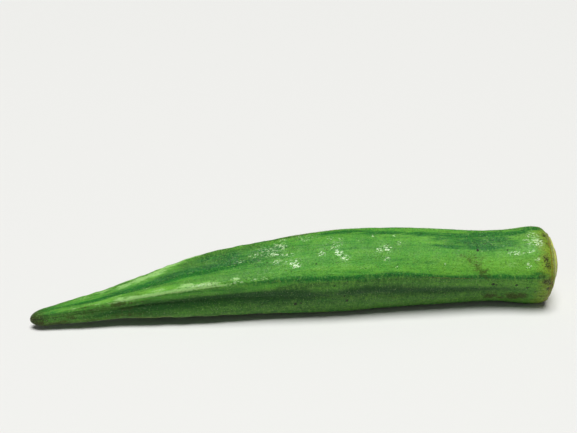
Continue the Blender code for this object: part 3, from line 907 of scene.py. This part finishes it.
def receptacle_material():
    """The sloping receptacle: yellow-green, rusty by the scar, with painted shade in the groove round the
    stub.
    """
    material, tree, shader = new_material("receptacle_skin")
    place = in_mm(tree)
    cells = grain(tree, place, RECEPTACLE_CELL)
    from_middle = painted(tree, "radial")
    blotch = noisy(tree, place, 1.3, 3.0, 0.65)
    colour = tint(tree, cells["Mottle"], RECEPTACLE_GREEN, RECEPTACLE_PALE)
    scar = ramp(tree, reckon(tree, "MULTIPLY_ADD", blotch, 1.2, from_middle), 10.25, 10.85)
    colour = tint(tree, reckon(tree, "MULTIPLY", scar, 0.9), colour, SCAR_RUST)
    from_groove = reckon(tree, "ABSOLUTE", reckon(tree, "SUBTRACT", from_middle, GROOVE_AT))
    # Painted shade in the groove round the stub
    groove_shade = ramp(tree, from_groove, 0.2, 1.3, 1.0, 0.0)
    colour = tint(tree, reckon(tree, "MULTIPLY", groove_shade, 0.45), colour, GROOVE_SHADE)
    spots = ramp(tree, reckon(tree, "MULTIPLY_ADD", groove_shade, 0.16, blotch), 0.70, 0.76)
    colour = tint(tree, reckon(tree, "MULTIPLY", spots, 0.8), colour, SPOT_BROWN)
    finish = {
        "Base Color": colour,
        "Roughness": 0.5,
        "Subsurface Weight": 0.1,
        "Subsurface Scale": 0.0012,
        "Normal": raised(tree, cells["Height"], 0.11),
    }
    feed(tree, shader, finish)
    return material


# The cut face's colours, and the radius in mm of its ring of fibres
FLESH = (0.42, 0.46, 0.16, 1.0)
FLESH_PALE = (0.62, 0.62, 0.30, 1.0)
FIBRE_GREEN = (0.30, 0.36, 0.09, 1.0)
PITH_GREEN = (0.07, 0.13, 0.025, 1.0)
CUT_BROWN = (0.24, 0.12, 0.035, 1.0)
FIBRES_AT = 3.35


def cut_material():
    """The cut face of the stalk: a browned rim, pale flesh with rings of fibres, and dark green pith."""
    material, tree, shader = new_material("cut_stalk")
    place = in_mm(tree)
    from_middle = painted(tree, "radial")
    wobble = reckon(tree, "MULTIPLY_ADD", noisy(tree, place, 1.1, 3.0, 0.6), 0.9, from_middle)
    fibres = noisy(tree, place, 3.2, 2.0, 0.6)
    colour = tint(tree, fibres, FLESH, FLESH_PALE)
    from_ring = reckon(tree, "ABSOLUTE", reckon(tree, "SUBTRACT", wobble, FIBRES_AT))
    colour = tint(tree, ramp(tree, from_ring, 0.15, 0.55, 0.7, 0.0), colour, FIBRE_GREEN)
    colour = tint(tree, ramp(tree, wobble, 2.1, 1.1, 0.0, 0.9), colour, PITH_GREEN)
    colour = tint(tree, ramp(tree, wobble, 4.45, 5.0, 0.0, 0.92), colour, CUT_BROWN)
    finish = {
        "Base Color": colour,
        "Roughness": 0.55,
        "Subsurface Weight": 0.12,
        "Subsurface Scale": 0.0012,
        "Normal": raised(tree, fibres, 0.12),
    }
    feed(tree, shader, finish)
    return material


skin = shape_skin()
for material in (skin_material(), receptacle_material(), cut_material()):
    skin.data.materials.append(material)
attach(skin, "root")
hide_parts("okra_pod")

# The down. Short stiff hairs all over the pod's skin except its underside, leaning towards the beak. They
# are pale, and they show as a fine fringe round the pod.

HAIRS = 15000
HAIR_LENGTH = (0.18, 0.40)
HAIR_THICK = 0.036
HAIR_SIDES = 3
HAIR_SUNK = 0.04
HAIR_FREE_BELOW = 0.6
HAIR_LEAN = (-0.35, 0.4)
DOWN_GREEN = (0.36, 0.50, 0.20, 1.0)
DOWN_PALE = (0.62, 0.68, 0.42, 1.0)


def grow_down(body):
    """One mesh of thin three-sided spikes standing on the skin, at seeded random places."""
    draw = random.Random(51)
    mesh = body.data
    green = [p for p in mesh.polygons if p.material_index == GREEN_PART]
    faces = [p for p in green if p.center.z > HAIR_FREE_BELOW * MM]
    sizes = [p.area for p in faces]
    spike = bmesh.new()
    bmesh.ops.create_cone(
        spike,
        cap_ends=True,
        cap_tris=True,
        segments=HAIR_SIDES,
        radius1=HAIR_THICK / 2 * MM,
        radius2=0.0,
        depth=MM,
    )
    bmesh.ops.remove_doubles(spike, verts=spike.verts, dist=1e-7)
    bmesh.ops.translate(spike, verts=spike.verts, vec=(0, 0, 0.5 * MM))
    one = bpy.data.meshes.new("one_hair")
    spike.to_mesh(one)
    spike.free()
    bm = bmesh.new()
    for polygon in draw.choices(faces, weights=sizes, k=HAIRS):
        corners = [mesh.vertices[i].co for i in polygon.vertices]
        a, b = draw.random(), draw.random()
        spot = corners[0].lerp(corners[1], a).lerp(corners[-1].lerp(corners[-2], a), b)
        towards_beak, spread = HAIR_LEAN
        lean = Vector((draw.gauss(towards_beak, spread), draw.gauss(0, spread), draw.gauss(0, spread)))
        out = (polygon.normal + lean).normalized()
        length = draw.uniform(*HAIR_LENGTH)
        place = (
            Matrix.Translation(spot - polygon.normal * HAIR_SUNK * MM)
            @ out.to_track_quat("Z", "Y").to_matrix().to_4x4()
            @ Matrix.Diagonal((1, 1, length + HAIR_SUNK, 1))
        )
        one.transform(place)
        bm.from_mesh(one)
        one.transform(place.inverted())
    bpy.data.meshes.remove(one)
    return add_piece("okra_down", bm)


def down_material():
    """Pale hairs, a little greener in some places than in others."""
    material, tree, shader = new_material("okra_down")
    patch = noisy(tree, in_mm(tree), 0.4, 2.0, 0.5)
    feed(tree, shader, {"Base Color": tint(tree, patch, DOWN_GREEN, DOWN_PALE), "Roughness": 0.5})
    return material


down = grow_down(skin)
down.data.materials.append(down_material())
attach(down, "root")

# The surface that the pod lies on, a broad soft light nearly overhead, a weak one from the front, and the
# camera: 25 degrees above the horizontal and a little to the beak's side of square on. What is past the
# floor's edge is as bright as the floor where the camera sees it, and gives the pod only a weak light.

FLOOR_HALF = 3.0
FLOOR_PALE = (0.72, 0.72, 0.70, 1.0)
ROOM_WHITE = (0.99, 0.99, 0.975, 1.0)
ROOM_LIGHT = 0.10
ROOM_SEEN = 0.86
LIGHTS_AIM_AT = Vector((0.0, 0.0, 0.0))
OVERHEAD_AT = Vector((0.0, -0.08, 0.50))
FRONT_AT = Vector((-0.30, -0.70, 0.35))
CAMERA_AT = Vector((-32.254, -235.921, 137.291)) * MM
CAMERA_LOOKS = Vector((0.11455, 0.89904, -0.42262))


def lay_floor():
    """A plain pale surface, much larger than the pod."""
    bm = bmesh.new()
    bmesh.ops.create_grid(bm, x_segments=1, y_segments=1, size=FLOOR_HALF)
    floor = add_piece("floor", bm)
    material, tree, shader = new_material("pale_floor")
    feed(tree, shader, {"Base Color": FLOOR_PALE, "Roughness": 0.75})
    floor.data.materials.append(material)


def hang_light(lamp, place):
    """Puts a light in its place, turned towards the pod."""
    holder = bpy.data.objects.new(lamp.name, lamp)
    bpy.context.scene.collection.objects.link(holder)
    holder.location = place
    holder.rotation_euler = (LIGHTS_AIM_AT - place).to_track_quat("-Z", "Y").to_euler()


def light_room():
    """The broad light overhead, the weak one in front, and the room's own faint light."""
    overhead = bpy.data.lights.new("overhead", "SUN")
    overhead.energy = 3.6
    overhead.angle = math.radians(32)
    hang_light(overhead, OVERHEAD_AT)
    front = bpy.data.lights.new("front_fill", "AREA")
    front.shape = "RECTANGLE"
    front.size, front.size_y = 0.5, 0.4
    front.energy = 0.20
    hang_light(front, FRONT_AT)
    world = bpy.data.worlds.new("soft_room")
    world.use_nodes = True
    tree = world.node_tree
    seen = wire(tree, "ShaderNodeLightPath").outputs["Is Camera Ray"]
    strength = ramp(tree, seen, 0.0, 1.0, ROOM_LIGHT, ROOM_SEEN)
    feed(tree, tree.nodes["Background"], {"Color": ROOM_WHITE, "Strength": strength})
    bpy.context.scene.world = world


lay_floor()
light_room()

lens = bpy.data.cameras.new("camera")
lens.lens = 65.0
lens.sensor_width = 36.0
lens.clip_start = 0.01
lens.clip_end = 20.0
camera = bpy.data.objects.new("camera", lens)
bpy.context.scene.collection.objects.link(camera)
camera.location = CAMERA_AT
camera.rotation_euler = CAMERA_LOOKS.to_track_quat("-Z", "Y").to_euler()
bpy.context.scene.camera = camera
bpy.context.scene.view_settings.view_transform = "Standard"
